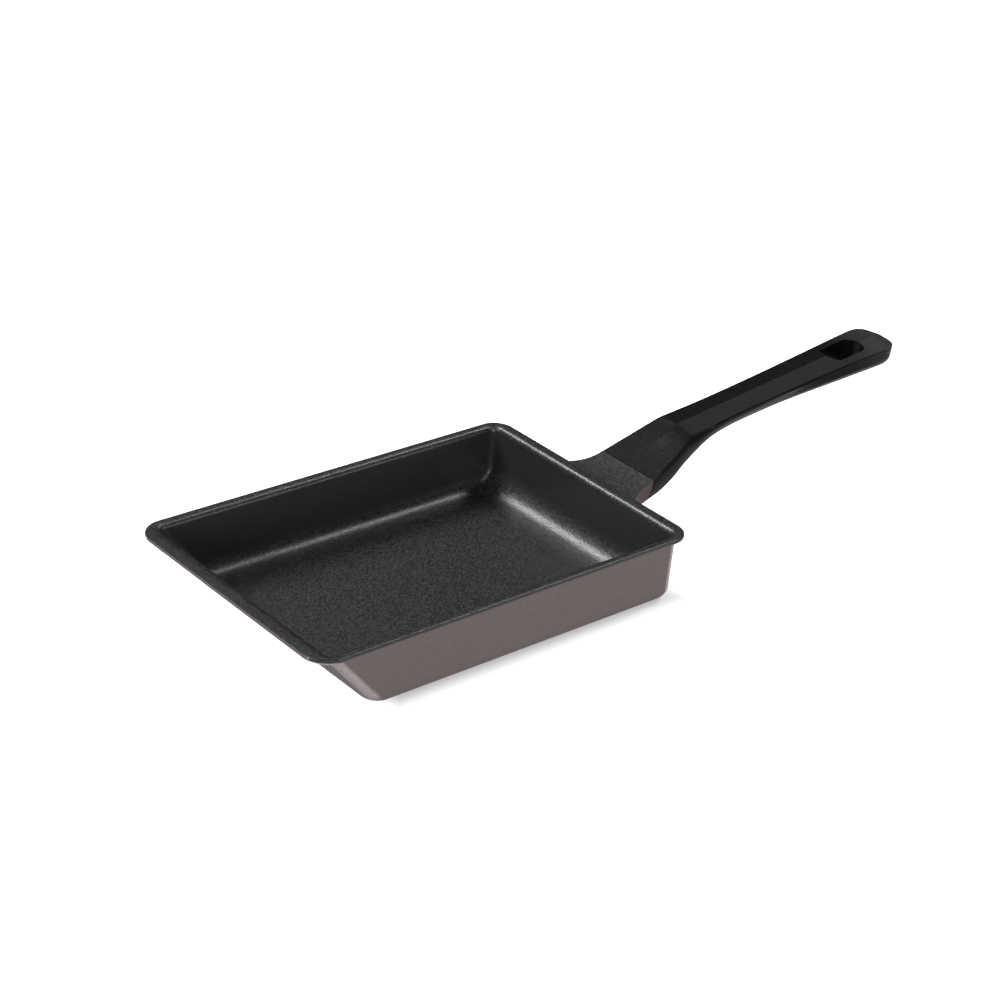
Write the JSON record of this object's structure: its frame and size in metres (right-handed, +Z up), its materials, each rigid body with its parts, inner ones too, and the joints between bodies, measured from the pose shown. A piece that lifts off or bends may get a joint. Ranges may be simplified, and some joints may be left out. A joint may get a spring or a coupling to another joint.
{
  "type": "tamagoyaki pan",
  "caption": "Rectangular rolled-omelette frying pan with a sloped front wall, a flat turned-out rim and an angled handle with a hanging slot.",
  "frame": {"origin": "centre of the tray's length and width over the rim, on the underside the pan stands on", "axes": "+X from the tray towards the handle, +Y across the pan, +Z up"},
  "size_m": [0.3997, 0.136, 0.0612],
  "materials": {
    "pan_body": "cast aluminium with a dark speckled non-stick coating inside and a taupe speckled enamel outside",
    "handle": "satin black phenolic moulding",
    "fastener_steel": "plain zinc-plated steel"
  },
  "bodies": {
    "root": {"pan_body": "pan_body", "handle": "handle", "handle_screw": "fastener_steel", "lock_washer": "fastener_steel", "flat_washer": "fastener_steel"}
  },
  "joints": []
}
